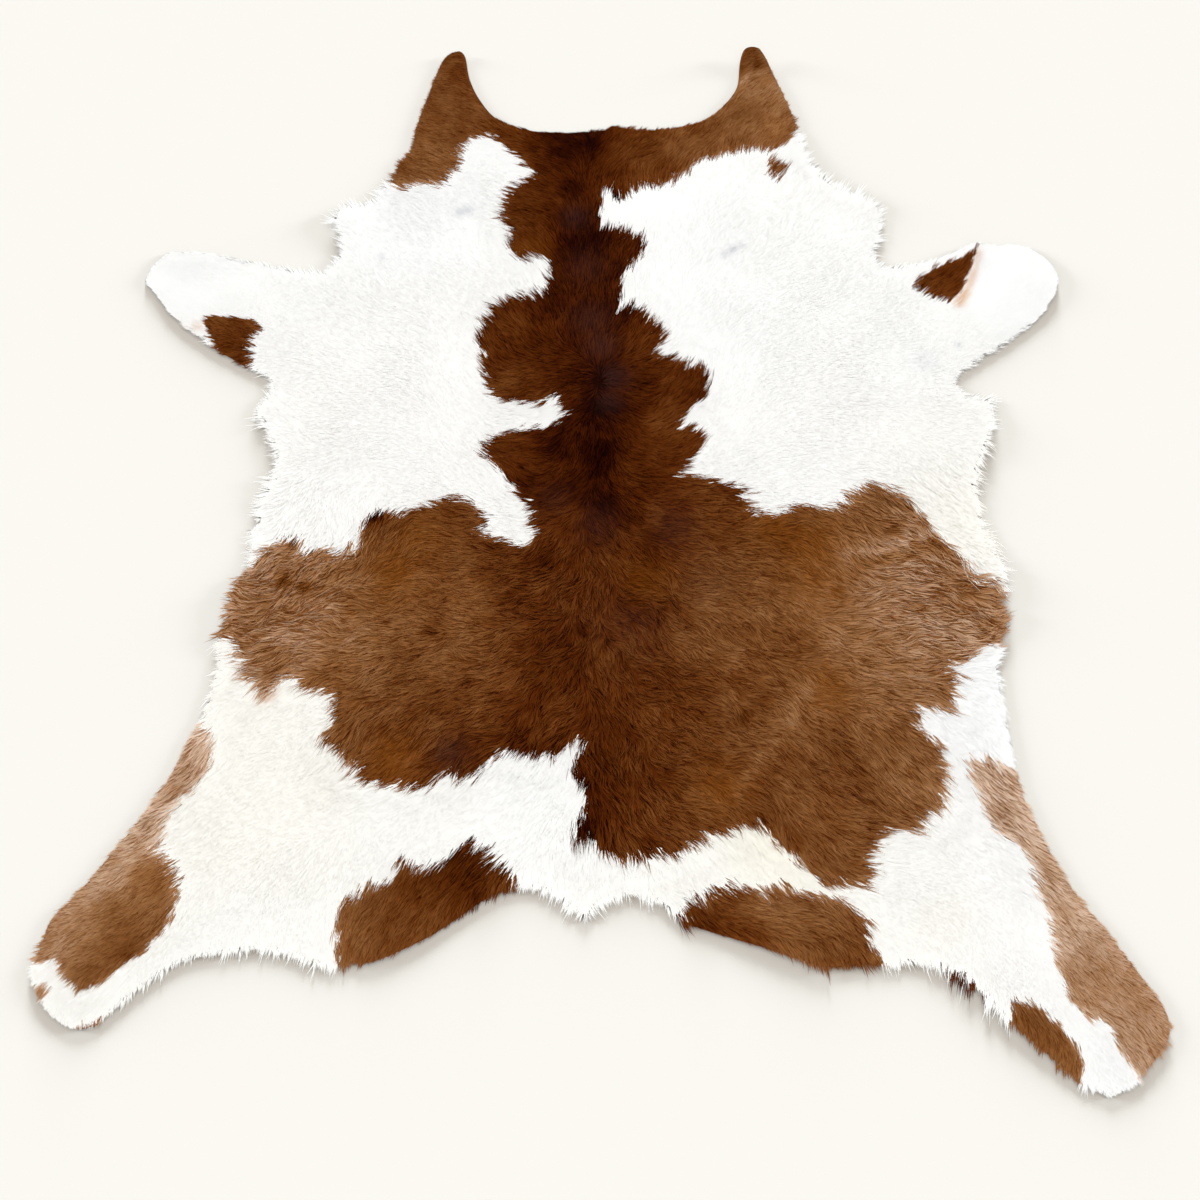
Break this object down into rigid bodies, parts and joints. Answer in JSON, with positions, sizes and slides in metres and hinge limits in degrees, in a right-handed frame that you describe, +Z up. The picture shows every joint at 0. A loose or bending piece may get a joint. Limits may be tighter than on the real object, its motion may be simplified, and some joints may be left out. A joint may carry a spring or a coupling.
{
  "type": "cowhide rug",
  "caption": "Hair-on cowhide rug lying flat, in the hide's own outline with ear flaps, legs and tail nub, chestnut and white.",
  "frame": {"origin": "under the middle of the hide's box, on the surface that it lies on", "axes": "+X to the right seen from the tail, +Y towards the neck, +Z up out of the hair side"},
  "size_m": [1.724, 1.88, 0.016],
  "materials": {
    "hair": "lying cattle hair with a soft sheen, chestnut patches on white, darker along the back",
    "leather": "matt undyed suede on the flesh side, paler at the cut edge"
  },
  "bodies": {
    "root": {"hide": "hair"}
  },
  "joints": []
}
